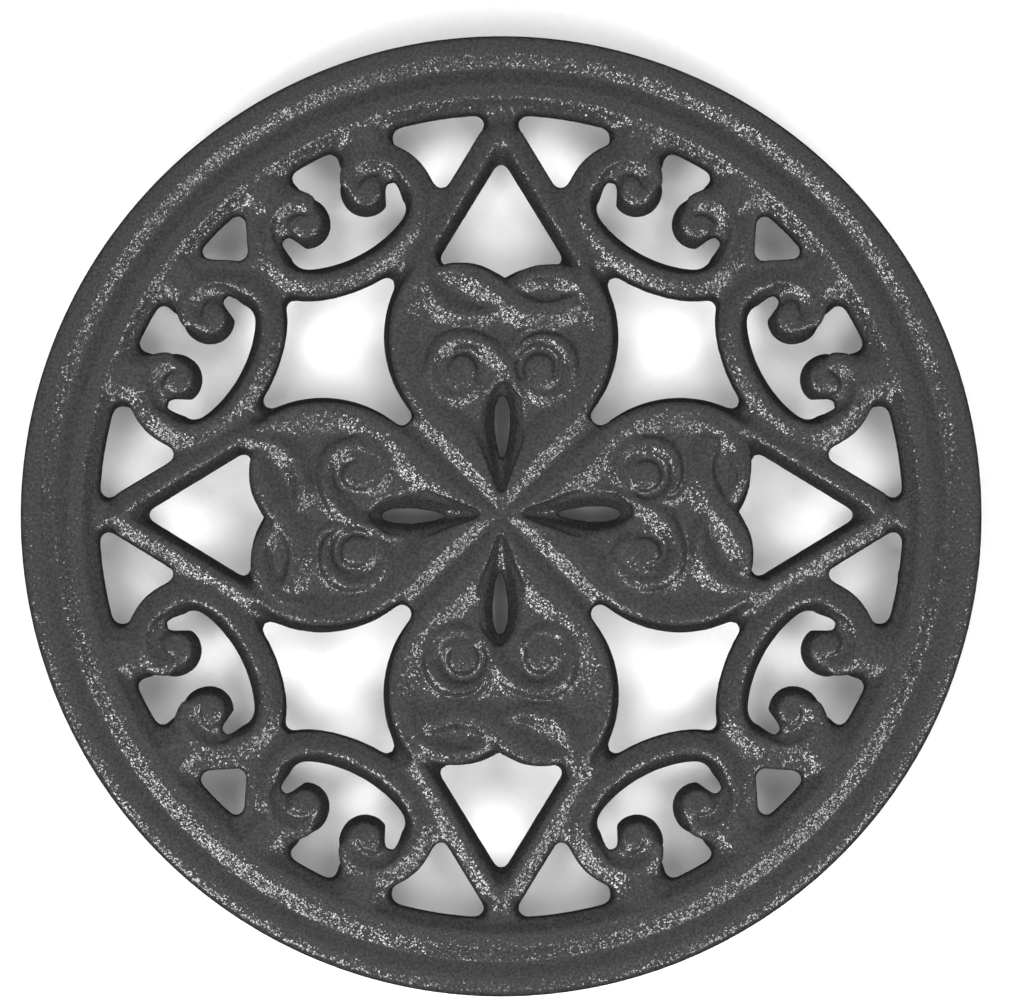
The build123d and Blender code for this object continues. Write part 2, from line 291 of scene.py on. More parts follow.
@dataclass(frozen=True)
class WhitePaper:
    """Matt white studio paper: an even white with faint cloudy fibres, which keeps the shadow."""

    shade: str = "#f7f8f8"
    light_shade: str = "#fcfcfc"
    fibre: float = 1.2
    cloud_start: float = 0.3
    cloud_full: float = 0.7

    def build(self) -> bpy.types.Material:
        """Make the paper's material."""
        material = bpy.data.materials.new("white_paper")
        tree = bare_tree(material)
        place = add_node(tree, "ShaderNodeTexCoord").outputs["Object"]
        fibre = add_node(tree, "ShaderNodeTexNoise", {"Scale": per_metre(self.fibre)}, {"Vector": place})
        tint = add_node(tree, "ShaderNodeValToRGB", links={"Fac": fibre.outputs["Fac"]})
        set_ramp(tint, linear(self.shade), linear(self.light_shade), self.cloud_start, self.cloud_full)
        paper = add_node(tree, "ShaderNodeBsdfDiffuse", links={"Color": tint.outputs["Color"]})
        add_node(tree, "ShaderNodeOutputMaterial", links={"Surface": paper.outputs["BSDF"]})
        return material


def new_object(name: str, data: bpy.types.ID | None) -> bpy.types.Object:
    """Make an object at the origin and put it in the scene."""
    made = bpy.data.objects.new(name, data)
    bpy.context.scene.collection.objects.link(made)
    return made


def mesh_of(shape: bmesh.types.BMesh, name: str) -> bpy.types.Mesh:
    """Turn a bmesh into a mesh and free it."""
    mesh = bpy.data.meshes.new(name)
    shape.to_mesh(mesh)
    shape.free()
    return mesh


def settled_mesh(source: bpy.types.Object, name: str) -> bpy.types.Mesh:
    """Take the mesh that an object's curve or modifiers give, and drop the object.

    Args:
        source: the object to take the mesh of.
        name: the new mesh's name.

    Returns:
        The mesh, with nothing live on it.
    """
    bpy.context.view_layer.update()
    evaluated = source.evaluated_get(bpy.context.evaluated_depsgraph_get())
    mesh = bpy.data.meshes.new_from_object(evaluated)
    mesh.name = name
    bpy.data.objects.remove(source)
    return mesh


def section_object(section: Section, hand: Hand) -> bpy.types.Object:
    """Draw a cross-section as the closed curve that a strand is bevelled with."""
    curve = bpy.data.curves.new("section_" + section.name.lower(), "CURVE")
    curve.dimensions = "2D"
    spline = curve.splines.new("POLY")
    spline.points.add(len(section.value) - 1)
    for point, (sideways, up) in zip(spline.points, section.value):
        point.co = (sideways * hand.value, up, 0.0, 1.0)
    spline.use_cyclic_u = True
    return new_object(curve.name, curve)


def strand_mesh(strand: Strand) -> bpy.types.Mesh:
    """Sweep a strand's section through its stations.

    Args:
        strand: the strand, in millimetres.

    Returns:
        A closed mesh in metres.
    """
    section = section_object(strand.section, strand.hand)
    curve = bpy.data.curves.new(strand.name, "CURVE")
    curve.dimensions = "3D"
    curve.twist_mode = "Z_UP"
    curve.bevel_mode = "OBJECT"
    curve.bevel_object = section
    curve.use_fill_caps = True
    curve.resolution_u = CURVE_STEPS
    spline = curve.splines.new("BEZIER")
    spline.bezier_points.add(len(strand.stations) - 1)
    for point, station in zip(spline.bezier_points, strand.stations):
        point.co = Vector((station.across, station.out, strand.height + station.rise)) * MILLIMETRE
        point.handle_left_type = "AUTO"
        point.handle_right_type = "AUTO"
        point.radius = station.half_width * MILLIMETRE
    mesh = settled_mesh(new_object(strand.name, curve), strand.name)
    bpy.data.objects.remove(section)
    return mesh


def spun(profile: Iterable[tuple[float, float]], steps: int) -> bmesh.types.BMesh:
    """Spin a profile into a closed round shape.

    Args:
        profile: radius and height of each point, in millimetres, from axis to axis.
        steps: faces round the axis.

    Returns:
        The shape about the Z axis, in metres.
    """
    shape = bmesh.new()
    line = [shape.verts.new(Vector((radius, 0.0, height)) * MILLIMETRE) for radius, height in profile]
    for start, stop in zip(line, line[1:]):
        shape.edges.new((start, stop))
    bmesh.ops.spin(shape, geom=shape.verts[:] + shape.edges[:], cent=(0, 0, 0), axis=(0, 0, 1),
                   angle=math.tau, steps=steps, use_merge=True)
    bmesh.ops.remove_doubles(shape, verts=shape.verts, dist=WELD)
    bmesh.ops.recalc_face_normals(shape, faces=shape.faces)
    return shape


def button_mesh(button: Button) -> bpy.types.Mesh:
    """Make a boss at its place in the ornament."""
    top = button.height
    foot = top - button.drop
    edge = button.radius - button.side
    profile = [(0.0, top), (edge * button.dome_out_share, top - button.crown * button.dome_fall_share),
               (edge, top - button.crown),
               (edge + button.side * button.side_out_share, top - button.drop * button.side_fall_share),
               (button.radius, foot), (0.0, foot)]
    shape = spun(profile, button.steps)
    place = Matrix.Translation(Vector((button.across, button.out, 0.0)) * MILLIMETRE)
    bmesh.ops.transform(shape, matrix=place, verts=shape.verts)
    return mesh_of(shape, "button")


def stacked(name: str, layers: list[tuple[list[tuple[float, float]], float]]) -> bpy.types.Mesh:
    """Skin a pile of outlines that have the same number of points.

    Args:
        name: the mesh's name.
        layers: each outline with its height, in millimetres, from the bottom up.

    Returns:
        A closed mesh in metres.
    """
    shape = bmesh.new()
    rings = [[shape.verts.new(Vector((x, y, height)) * MILLIMETRE) for x, y in line]
             for line, height in layers]
    for low, high in zip(rings, rings[1:]):
        for n in range(len(low)):
            shape.faces.new((low[n - 1], low[n], high[n], high[n - 1]))
    shape.faces.new(rings[0])
    shape.faces.new(rings[-1])
    bmesh.ops.recalc_face_normals(shape, faces=shape.faces)
    return mesh_of(shape, name)


def joined(name: str, groups: dict[str, tuple[list[bpy.types.Mesh], list[Matrix]]]) -> bpy.types.Object:
    """Join copies of meshes, laid at their places, into one object.

    Args:
        name: the object's name.
        groups: for each kind of ornament, its meshes and their places; a place may mirror.

    Returns:
        The object, whose shapes overlap.
    """
    shape = bmesh.new()
    for meshes, places in groups.values():
        for mesh in meshes:
            for place in places:
                copy = mesh.copy()
                copy.transform(place)
                if place.is_negative:
                    copy.flip_normals()
                shape.from_mesh(copy)
                bpy.data.meshes.remove(copy)
            bpy.data.meshes.remove(mesh)
    return new_object(name, mesh_of(shape, name))


@dataclass
class PetalOrnament:
    """The dish, volutes, slit and twisted strands of one petal, with the petal's axis along +Y."""

    middle: float = 36.27
    radius: float = 24.1
    gap: float = 3.1
    arc_steps: int = 24
    arc_start: float = -45.0
    arc_end: float = 32.0
    outer_end: tuple[tuple[float, float], ...] = ((14.5, 49.4), (7.5, 50.3), (0.0, 47.3))
    bed: float = 5.2
    field_height: float = 5.9
    border: float = 7.2
    clear_height: float = 14.4
    border_inset: float = 4.3
    field_inset: float = 7.6
    slab_inset: float = 5.0
    slab_foot: float = 0.4
    coil_height: float = 7.3
    twist_height: float = 7.4
    eyes: tuple[tuple[float, float], ...] = ((-8.2, 28.8), (7.9, 28.9))
    eye_height: float = 7.1
    eye_radius: float = 5.2
    groove_height: float = 6.75
    fine_groove_height: float = 7.1
    ring_height: float = 5.8
    lens_height: float = 6.8
    tip_height: float = 7.0
    recess_height: float = 5.75
    slit_height: float = 2.3

    def outline(self, inset: float) -> list[tuple[float, float]]:
        """Draw the inside of the petal, closed across its outer end.

        Args:
            inset: distance in from the petal's edge.

        Returns:
            The outline's points, anticlockwise from the centre of the trivet.
        """
        reach = self.radius - inset
        step = (self.arc_end - self.arc_start) / self.arc_steps
        turns = [math.radians(self.arc_start + n * step) for n in range(self.arc_steps + 1)]
        side = [(reach * math.cos(turn), self.middle + reach * math.sin(turn)) for turn in turns]
        side += self.outer_end[:-1]
        apex = (0.0, (self.gap / 2 + inset) * math.sqrt(2))
        return [apex] + side + [self.outer_end[-1]] + [(-x, y) for x, y in reversed(side)]

    def emptied(self) -> list[bpy.types.Mesh]:
        """Build the cut that empties the petal for its ornament, with a slope inside its border."""
        wide = self.outline(self.border_inset)
        narrow = self.outline(self.field_inset)
        return [stacked("petal_cut", [(narrow, self.bed), (narrow, self.field_height), (wide, self.border),
                                      (wide, self.clear_height)])]

    def volutes(self) -> list[Strand]:
        """Lay out the two volutes, each from its start round to its eye."""
        left_volute = Strand("left_volute", Section.COIL, self.coil_height, (
            Station(4.3, 19.0, 1.0, -1.0),
            Station(3.4, 24.6, 1.7, -0.3),
            Station(1.6, 29.4, 2.2),
            Station(-1.4, 33.2, 2.6),
            Station(-4.8, 35.3, 2.7),
            Station(-8.4, 35.7, 2.65),
            Station(-11.7, 34.5, 2.4),
            Station(-13.8, 31.6, 2.2),
            Station(-14.0, 28.2, 2.0, -0.1),
            Station(-12.4, 25.1, 1.7, -0.2),
            Station(-9.4, 23.6, 1.5, -0.3),
            Station(-6.5, 24.5, 1.3, -0.4),
            Station(-4.9, 26.8, 1.1, -0.5),
        ), Hand.LEFT)
        right_volute = Strand("right_volute", Section.COIL, self.coil_height, (
            Station(2.4, 32.4, 1.1, -0.5),
            Station(4.6, 35.0, 1.9, -0.1),
            Station(8.2, 35.9, 2.3),
            Station(11.8, 34.6, 2.35),
            Station(14.1, 31.6, 2.2),
            Station(14.3, 28.0, 2.0, -0.1),
            Station(12.8, 25.0, 1.7, -0.2),
            Station(9.8, 23.6, 1.5, -0.3),
            Station(6.7, 24.4, 1.35, -0.4),
            Station(4.9, 26.8, 1.2, -0.5),
        ), Hand.RIGHT)
        return [left_volute, right_volute]

    def twist(self) -> list[Strand]:
        """Lay out the two strands that twist across the petal's outer end."""
        under = Strand("under_strand", Section.ROPE, self.twist_height, (
            Station(-15.8, 54.2, 2.0, -0.6),
            Station(-15.2, 50.4, 2.6, -0.2),
            Station(-14.4, 46.4, 3.0, -0.1),
            Station(-11.9, 42.4, 3.3, -0.1),
            Station(-8.0, 40.5, 3.0, -0.1),
            Station(-4.2, 40.3, 2.7, -0.2),
            Station(-0.6, 41.8, 2.4, -0.7),
            Station(2.4, 45.4, 2.3, -0.7),
            Station(5.9, 47.9, 2.0, -0.2),
            Station(9.5, 48.6, 2.0, -0.1),
            Station(13.4, 47.9, 2.3, -0.1),
            Station(16.5, 45.6, 2.7, -0.1),
            Station(18.3, 42.0, 2.4, -0.2),
            Station(19.2, 38.0, 1.3, -0.4),
        ))
        over = Strand("over_strand", Section.LAP, self.twist_height, (
            Station(-12.4, 49.0, 1.4, -0.3),
            Station(-8.9, 49.0, 2.0, -0.1),
            Station(-5.6, 47.8, 3.0),
            Station(-2.3, 45.5, 3.7),
            Station(1.0, 42.9, 3.7),
            Station(4.6, 41.0, 3.4),
            Station(8.5, 40.4, 3.0),
            Station(12.3, 41.1, 2.9, -0.1),
            Station(15.6, 42.5, 2.4, -0.2),
        ))
        return [under, over]

    def tip(self) -> Strand:
        """Lay out the ridge that fills the petal's tip at the hub."""
        return Strand("petal_tip", Section.SADDLE, self.tip_height, (
            Station(0.0, 2.2, 0.8, -0.45),
            Station(0.0, 4.5, 1.2, -0.05),
            Station(0.0, 8.0, 2.0),
            Station(0.0, 11.0, 2.2, -0.4),
        ))

    def raised(self) -> list[bpy.types.Mesh]:
        """Build the strands, bosses and field that stand up from the petal."""
        meshes = [strand_mesh(s) for s in self.volutes() + self.twist() + [self.tip()]]
        eyes = [Button(across, out, self.eye_radius, self.eye_height) for across, out in self.eyes]
        meshes += [button_mesh(eye) for eye in eyes]
        slab = self.outline(self.slab_inset)
        meshes.append(stacked("petal_field", [(slab, self.slab_foot), (slab, self.field_height)]))
        return meshes

    def volute_cuts(self) -> list[Strand]:
        """Lay out the grooves beside the eyes, the fine lines and the rings round the volutes."""
        left_groove = Strand("left_groove", Section.ROUND, self.groove_height, (
            Station(-5.0, 26.6, 0.5),
            Station(-4.1, 28.8, 1.05),
            Station(-4.5, 31.0, 1.25),
            Station(-6.2, 32.7, 1.2),
            Station(-8.4, 32.9, 1.05),
            Station(-10.2, 31.7, 0.85),
            Station(-10.7, 30.0, 0.55),
            Station(-9.9, 29.0, 0.3),
        ))
        right_groove = Strand("right_groove", Section.ROUND, self.groove_height, (
            Station(5.0, 26.6, 0.5),
            Station(3.9, 28.6, 0.95),
            Station(4.2, 31.0, 1.1),
            Station(5.9, 32.8, 1.2),
            Station(8.3, 33.2, 1.2),
            Station(10.6, 32.0, 1.1),
            Station(11.4, 29.6, 0.95),
            Station(10.7, 27.8, 0.6),
            Station(9.6, 27.2, 0.3),
        ))
        left_line = Strand("left_line", Section.ROUND, self.fine_groove_height, (
            Station(-15.0, 28.8, 0.35),
            Station(-13.2, 26.0, 0.5),
            Station(-10.4, 24.8, 0.55),
            Station(-7.4, 25.1, 0.55),
            Station(-5.2, 26.8, 0.5),
        ))
        right_line = Strand("right_line", Section.ROUND, self.fine_groove_height, (
            Station(15.2, 28.8, 0.35),
            Station(13.4, 26.0, 0.5),
            Station(10.6, 24.8, 0.55),
            Station(7.4, 25.1, 0.55),
            Station(5.0, 26.8, 0.5),
        ))
        left_ring = Strand("left_ring", Section.SCORE, self.ring_height, (
            Station(-16.2, 28.3, 0.6, 0.3),
            Station(-15.8, 31.6, 1.1),
            Station(-14.4, 34.9, 1.2),
            Station(-12.1, 36.9, 1.2),
            Station(-8.9, 37.8, 1.2),
            Station(-5.0, 37.4, 1.2),
            Station(-1.3, 35.8, 1.2),
            Station(1.5, 33.8, 0.7, 0.4),
        ))
        right_ring = Strand("right_ring", Section.SCORE, self.ring_height, (
            Station(3.1, 33.3, 0.7, 0.4),
            Station(4.1, 35.4, 1.1),
            Station(6.7, 37.0, 1.2),
            Station(10.0, 37.2, 1.2),
            Station(13.3, 36.0, 1.2),
            Station(15.4, 33.6, 1.1),
            Station(16.2, 30.3, 1.0),
            Station(15.9, 27.6, 0.6, 0.3),
        ))
        return [left_groove, right_groove, left_line, right_line, left_ring, right_ring]

    def lens_cuts(self) -> list[Strand]:
        """Lay out the leaf-shaped hollows between the twisted strands."""
        left_lens = Strand("left_lens", Section.SPIRAL, self.lens_height, (
            Station(-1.4, 41.7, 0.6, 0.3),
            Station(-4.4, 42.2, 2.0),
            Station(-7.2, 43.6, 2.2),
            Station(-9.6, 45.6, 0.8, 0.2),
        ))
        right_lens = Strand("right_lens", Section.SPIRAL, self.lens_height, (
            Station(14.2, 44.4, 0.6, 0.3),
            Station(10.8, 43.5, 1.7),
            Station(7.2, 43.6, 1.7),
            Station(4.2, 45.0, 0.6, 0.3),
        ))
        rim_lens = Strand("rim_lens", Section.ROUND, self.lens_height, (
            Station(4.4, 46.6, 0.4, 0.4),
            Station(6.8, 46.8, 0.8, 0.3),
            Station(9.8, 46.5, 0.8, 0.3),
            Station(13.0, 45.6, 0.4, 0.4),
        ))
        return [left_lens, right_lens, rim_lens]

    def slit_cuts(self) -> list[Strand]:
        """Lay out the tapering recess and the slit in its floor."""
        recess = Strand("slit_recess", Section.RECESS, self.recess_height, (
            Station(0.0, 4.3, 0.5, 1.0),
            Station(0.0, 6.6, 1.1, 0.5),
            Station(0.0, 10.0, 1.9, 0.1),
            Station(0.0, 14.5, 3.2),
            Station(0.0, 19.0, 3.7),
            Station(0.1, 23.4, 2.9),
            Station(0.3, 26.6, 0.8),
        ))
        slit = Strand("slit", Section.SLOT, self.slit_height, (
            Station(0.2, 11.2, 0.3),
            Station(0.2, 14.0, 1.05),
            Station(0.2, 18.0, 1.55),
            Station(0.2, 21.5, 1.5),
            Station(0.2, 24.2, 0.7),
        ))
        return [recess, slit]

    def sunk(self) -> list[bpy.types.Mesh]:
        """Build all the cuts in the petal."""
        return [strand_mesh(s) for s in self.volute_cuts() + self.lens_cuts() + self.slit_cuts()]


@dataclass
class ValleyFill:
    """The V-shaped valley between two petals, with the valley along +Y."""

    crest_height: float = 7.15
    hub_radius: float = 9.0
    hub_height: float = 5.8

    def raised(self) -> list[bpy.types.Mesh]:
        """Build the fill that slopes from both petals' borders down to the valley's line."""
        valley = Strand("petal_valley", Section.VALLEY, self.crest_height, (
            Station(0.0, 0.1, 0.3, -0.75),
            Station(0.0, 4.5, 3.2),
            Station(0.0, 8.0, 4.0),
            Station(0.0, 18.0, 4.6),
            Station(0.0, 26.3, 5.0),
        ))
        hub = Button(0.0, 0.0, self.hub_radius, self.hub_height, crown=0.0, side=0.5, drop=5.5)
        return [strand_mesh(valley), button_mesh(hub)]


@dataclass
class PetalBorder:
    """The raised border on the right of one petal, whose axis is +Y, from the valley to the arch."""

    crest_height: float = 7.15

    def raised(self) -> list[bpy.types.Mesh]:
        """Build the border, broad near the valley and narrow at the petal's side."""
        border = Strand("petal_border", Section.BORDER, self.crest_height, (
            Station(10.4, 15.1, 2.2, -0.1),
            Station(14.4, 19.4, 2.7),
            Station(16.4, 22.6, 2.6),
            Station(18.7, 26.0, 2.1),
            Station(20.7, 30.8, 1.7),
            Station(21.4, 36.3, 1.5),
            Station(20.7, 41.6, 1.5),
            Station(18.6, 46.6, 1.5, -0.1),
        ))
        return [strand_mesh(border)]


@dataclass
class CurlOrnament:
    """Half of one scroll and its rolled end, on the right of a scroll whose axis is +Y."""

    spread: float = 6.9
    reach: float = 70.7
    ball_radius: float = 5.1
    ball_height: float = 6.75
    roof_height: float = 6.75
    neck_height: float = 6.65
    notch_height: float = 3.0
    groove_height: float = 6.25

    def raised(self) -> list[bpy.types.Mesh]:
        """Build the sloping roof of the scroll's bar, the neck to the rim and the curl's ball."""
        roof = Strand("scroll_roof", Section.ROOF, self.roof_height, (
            Station(-1.0, 57.0, 3.4),
            Station(6.0, 57.6, 3.4),
            Station(12.0, 59.9, 3.5),
            Station(15.6, 63.6, 3.6),
            Station(16.3, 67.6, 3.7),
            Station(15.0, 72.2, 3.8),
            Station(11.4, 75.9, 3.7),
            Station(8.0, 76.7, 2.7),
            Station(5.2, 75.4, 1.7, -0.05),
            Station(3.5, 73.5, 1.2, -0.15),
        ), Hand.LEFT)
        neck = Strand("scroll_neck", Section.SADDLE, self.neck_height, (
            Station(9.8, 74.8, 4.0),
            Station(11.0, 79.0, 4.4),
            Station(12.0, 83.6, 4.8, 0.45),
        ))
        ball = Button(self.spread, self.reach, self.ball_radius, self.ball_height,
                      crown=0.3, side=1.9, drop=6.0)
        return [strand_mesh(roof), strand_mesh(neck), button_mesh(ball)]

    def sunk(self) -> list[bpy.types.Mesh]:
        """Build the cuts of the notch beside the ball and the spiral groove that leads from it."""
        groove = Strand("curl_groove", Section.SPIRAL, self.groove_height, (
            Station(12.4, 69.2, 1.3, -1.2),
            Station(11.6, 71.5, 1.7, -0.4),
            Station(10.0, 73.0, 1.9),
            Station(8.0, 73.3, 1.7),
            Station(6.4, 72.5, 1.2, 0.2),
            Station(5.6, 71.4, 0.6, 0.4),
        ))
        notch = Strand("curl_notch", Section.SLOT, self.notch_height, (
            Station(10.8, 65.6, 1.8),
            Station(11.4, 67.4, 1.6),
            Station(11.9, 69.0, 1.35),
            Station(12.3, 70.2, 0.8),
        ))
        return [strand_mesh(groove), strand_mesh(notch)]


@dataclass
class ScrollWeb:
    """A scroll's wall beside a diagonal window, on the right of a scroll whose axis is +Y."""

    height: float = 6.0
    half_width: float = 0.9

    def raised(self) -> list[bpy.types.Mesh]:
        """Build the wall from the neck at the rim down to the scroll's side."""
        wall = Strand("scroll_web", Section.WEB, self.height, (
            Station(14.9, 80.2, self.half_width),
            Station(16.0, 77.8, self.half_width),
            Station(17.8, 73.9, self.half_width),
            Station(19.5, 70.1, self.half_width),
            Station(20.3, 68.3, self.half_width),
        ))
        return [strand_mesh(wall)]


@dataclass
class ArchRoof:
    """The sloping top of one arch leg, on the right of an arch whose axis is +Y."""

    crest_height: float = 6.75
    half_width: float = 3.1

    def raised(self) -> list[bpy.types.Mesh]:
        """Build the leg's gentle roof from the petal up to the rim."""
        roof = Strand("arch_roof", Section.ROOF, self.crest_height, (
            Station(17.6, 49.8, self.half_width),
            Station(9.6, 63.0, self.half_width),
            Station(1.4, 76.6, self.half_width),
        ), Hand.LEFT)
        return [strand_mesh(roof)]


@dataclass
class RimMoulding:
    """The two flat bands of the rim, the groove between them and the slope of its inner lip."""

    inner_band: tuple[tuple[float, float], ...] = (
        (81.4, 0.8), (81.5, 4.9), (82.0, 5.7), (83.6, 6.45), (85.3, 7.15), (86.2, 7.3), (87.0, 7.3),
        (87.0, 0.8))
    outer_band: tuple[tuple[float, float], ...] = (
        (94.0, 1.0), (94.0, 7.35), (94.4, 7.42), (96.2, 7.42), (96.8, 7.0), (97.1, 6.0), (97.2, 1.0))
    groove: tuple[tuple[float, float], ...] = (
        (86.8, 9.0), (87.5, 7.4), (90.3, 6.25), (93.0, 7.4), (93.6, 9.0))
    steps: int = 360

    def raised(self) -> list[bpy.types.Mesh]:
        """Spin both bands."""
        bands = (self.inner_band, self.outer_band)
        return [mesh_of(spun(band + band[:1], self.steps), "rim_band") for band in bands]

    def sunk(self) -> list[bpy.types.Mesh]:
        """Spin the cut of the groove."""
        return [mesh_of(spun(self.groove + self.groove[:1], self.steps), "rim_groove")]


@dataclass
class Casting:
    """The one iron casting: rim, scrolls, arches, petals and legs."""

    node: str = "casting"
    plate_underside: float = 14.0
    scroll_turn: float = 28.3
    voxel: float = 0.5
    final_voxel: float = 0.37
    cut_voxel: float = 0.25
    fillet: float = 1.1
    smoothing: int = 2
    smooth_share: float = 0.5
    firm_height: float = 1.0
    lid_gap: float = 0.01
    triangles: int = 190_000
    petal: PetalOrnament = field(default_factory=PetalOrnament)
    valley: ValleyFill = field(default_factory=ValleyFill)
    curl: CurlOrnament = field(default_factory=CurlOrnament)
    web: ScrollWeb = field(default_factory=ScrollWeb)
    arch: ArchRoof = field(default_factory=ArchRoof)
    border: PetalBorder = field(default_factory=PetalBorder)
    rim: RimMoulding = field(default_factory=RimMoulding)

    def petal_places(self) -> list[Matrix]:
        """Give the four petals' places; every second petal is the other way round."""
        return [self.quarter(n) @ (MIRROR if n % 2 else UNTURNED) for n in range(4)]

    def valley_places(self) -> list[Matrix]:
        """Give the places of the four valleys between the petals."""
        return [self.quarter(n + 0.5) for n in range(4)]

    def arch_places(self) -> list[Matrix]:
        """Give the places of the eight arch legs."""
        return [self.quarter(n) @ side for n in range(4) for side in (UNTURNED, MIRROR)]

    def curl_places(self) -> list[Matrix]:
        """Give the places of the sixteen half scrolls."""
        turns = [Matrix.Rotation(sign * math.radians(self.scroll_turn), 4, "Z") for sign in (-1, 1)]
        scrolls = [self.quarter(n) @ turn for n in range(4) for turn in turns]
        return [scroll @ side for scroll in scrolls for side in (UNTURNED, MIRROR)]

    def diagonal_places(self) -> list[Matrix]:
        """Give the places of the eight half scrolls beside the diagonal windows."""
        turn = math.radians(self.scroll_turn)
        sides = (Matrix.Rotation(-turn, 4, "Z"), Matrix.Rotation(turn, 4, "Z") @ MIRROR)
        return [self.quarter(n) @ side for n in range(4) for side in sides]

    def quarter(self, number: float) -> Matrix:
        """Give a place on the plate that is turned by a number of quarter turns."""
        lift = Matrix.Translation((0.0, 0.0, self.plate_underside * MILLIMETRE))
        return lift @ Matrix.Rotation(number * math.pi / 2, 4, "Z")

    def fuse(self, piece: bpy.types.Object, size: float) -> None:
        """Add a step that turns overlapping shapes into one skin."""
        step = piece.modifiers.new("fuse", "REMESH")
        step.mode = "VOXEL"
        step.voxel_size = size * MILLIMETRE

    def grow(self, piece: bpy.types.Object, distance: float) -> None:
        """Add a step that moves the skin outwards, or inwards for a negative distance."""
        step = piece.modifiers.new("grow", "DISPLACE")
        step.direction = "NORMAL"
        step.mid_level = 0.0
        step.strength = distance * MILLIMETRE

    def carve(self, piece: bpy.types.Object, cuts: bpy.types.Object) -> None:
        """Add a step that takes the cuts out of a skin."""
        step = piece.modifiers.new("carve", "BOOLEAN")
        step.operation = "DIFFERENCE"
        step.object = cuts
        step.solver = "MANIFOLD"

    def bare_plate(self) -> bpy.types.Mesh:
        """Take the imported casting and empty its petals."""
        shape = bmesh.new()
        shape.from_mesh(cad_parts[self.node].data)
        bmesh.ops.remove_doubles(shape, verts=shape.verts, dist=WELD)
        plate = new_object("bare_plate", mesh_of(shape, "bare_plate"))
        cuts = joined("petal_cuts", {"petals": (self.petal.emptied(), self.petal_places())})
        self.fuse(plate, self.voxel)
        self.carve(plate, cuts)
        mesh = settled_mesh(plate, "bare_plate")
        bpy.data.objects.remove(cuts)
        return mesh

    def roofed_body(self) -> bpy.types.Mesh:
        """Roof the bars, true the rim and round the inside corners as a sand casting's are."""
        body = joined("casting_body", {
            "plate": ([self.bare_plate()], [UNTURNED]),
            "rim": (self.rim.raised(), [self.quarter(0)]),
            "curls": (self.curl.raised(), self.curl_places()),
            "webs": (self.web.raised(), self.diagonal_places()),
            "arches": (self.arch.raised(), self.arch_places()),
        })
        self.fuse(body, self.final_voxel)
        self.grow(body, self.fillet)
        self.fuse(body, self.voxel)
        self.grow(body, -self.fillet)
        return settled_mesh(body, "casting_body")

    def soften(self, mesh: bpy.types.Mesh) -> None:
        """Smooth the skin above the underside's firm edges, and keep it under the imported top."""
        shape = bmesh.new()
        shape.from_mesh(mesh)
        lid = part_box(self.node)[1].z - self.lid_gap * MILLIMETRE
        level = (self.plate_underside + self.firm_height) * MILLIMETRE
        loose = [vert for vert in shape.verts if vert.co.z > level]
        for _ in range(self.smoothing):
            bmesh.ops.smooth_vert(shape, verts=loose, factor=self.smooth_share,
                                  use_axis_x=True, use_axis_y=True, use_axis_z=True)
        for vert in shape.verts:
            vert.co.z = min(vert.co.z, lid)
        shape.to_mesh(mesh)
        shape.free()

    def build(self) -> bpy.types.Object:
        """Make the casting with its ornament, its grooves and softened edges.

        Returns:
            The finished piece at the origin.
        """
        rough = joined("casting_form", {
            "body": ([self.roofed_body()], [UNTURNED]),
            "valleys": (self.valley.raised(), self.valley_places()),
            "borders": (self.border.raised(), self.arch_places()),
            "petals": (self.petal.raised(), self.petal_places()),
        })
        cuts = joined("casting_cuts", {
            "petals": (self.petal.sunk(), self.petal_places()),
            "curls": (self.curl.sunk(), self.curl_places()),
            "rim": (self.rim.sunk(), [self.quarter(0)]),
        })
        self.fuse(cuts, self.cut_voxel)
        self.fuse(rough, self.final_voxel)
        self.carve(rough, cuts)
        self.fuse(rough, self.final_voxel)
        skin = settled_mesh(rough, "casting_skin")
        bpy.data.objects.remove(cuts)
        self.soften(skin)
        corners = sum(len(face.vertices) - 2 for face in skin.polygons)
        log.info("casting skin has %d triangles before thinning", corners)
        thick = new_object("casting_skin", skin)
        thin = thick.modifiers.new("thin", "DECIMATE")
        thin.ratio = min(1.0, self.triangles / corners)
        mesh = settled_mesh(thick, "trivet_casting")
        mesh.shade_smooth()
        return new_object("trivet_casting", mesh)

    def dress(self, piece: bpy.types.Object, finish: bpy.types.Material) -> None:
        """Give the casting its coat and its place in the frame."""
        piece.data.materials.clear()
        piece.data.materials.append(finish)
        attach(piece, "root")
        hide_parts(self.node)


